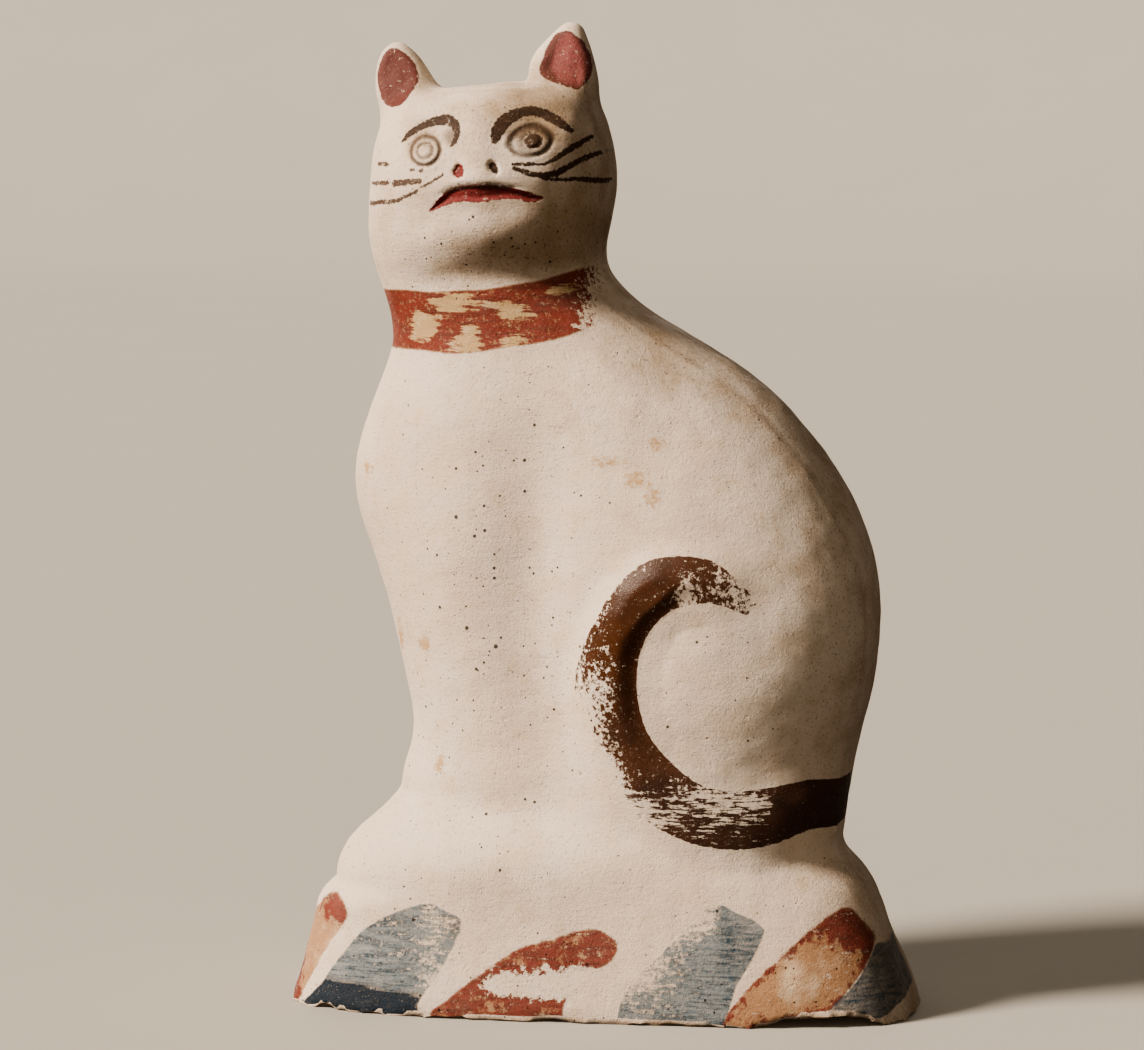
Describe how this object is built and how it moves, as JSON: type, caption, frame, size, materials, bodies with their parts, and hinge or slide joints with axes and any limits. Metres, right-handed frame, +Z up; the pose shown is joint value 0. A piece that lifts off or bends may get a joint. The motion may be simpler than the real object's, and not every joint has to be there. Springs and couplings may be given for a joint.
{
  "type": "seated cat figure",
  "caption": "Hollow cast plaster figure of a seated cat on a flared base, painted by hand, with its head turned to the side and its tail curled on its flank; open underneath",
  "frame": {"origin": "middle of the base's resting face", "axes": "+Z up; -X the way the chest points; -Y the way the face looks, the side with the tail"},
  "size_m": [0.174, 0.0922, 0.271],
  "materials": {
    "painted_plaster": "matte, hand painted",
    "plaster_slip": "matte"
  },
  "bodies": {
    "root": {"near_half_shell": "painted_plaster", "far_half_shell": "painted_plaster", "joint_slip": "plaster_slip", "chest_bead": "plaster_slip", "back_bead": "plaster_slip"}
  },
  "joints": []
}
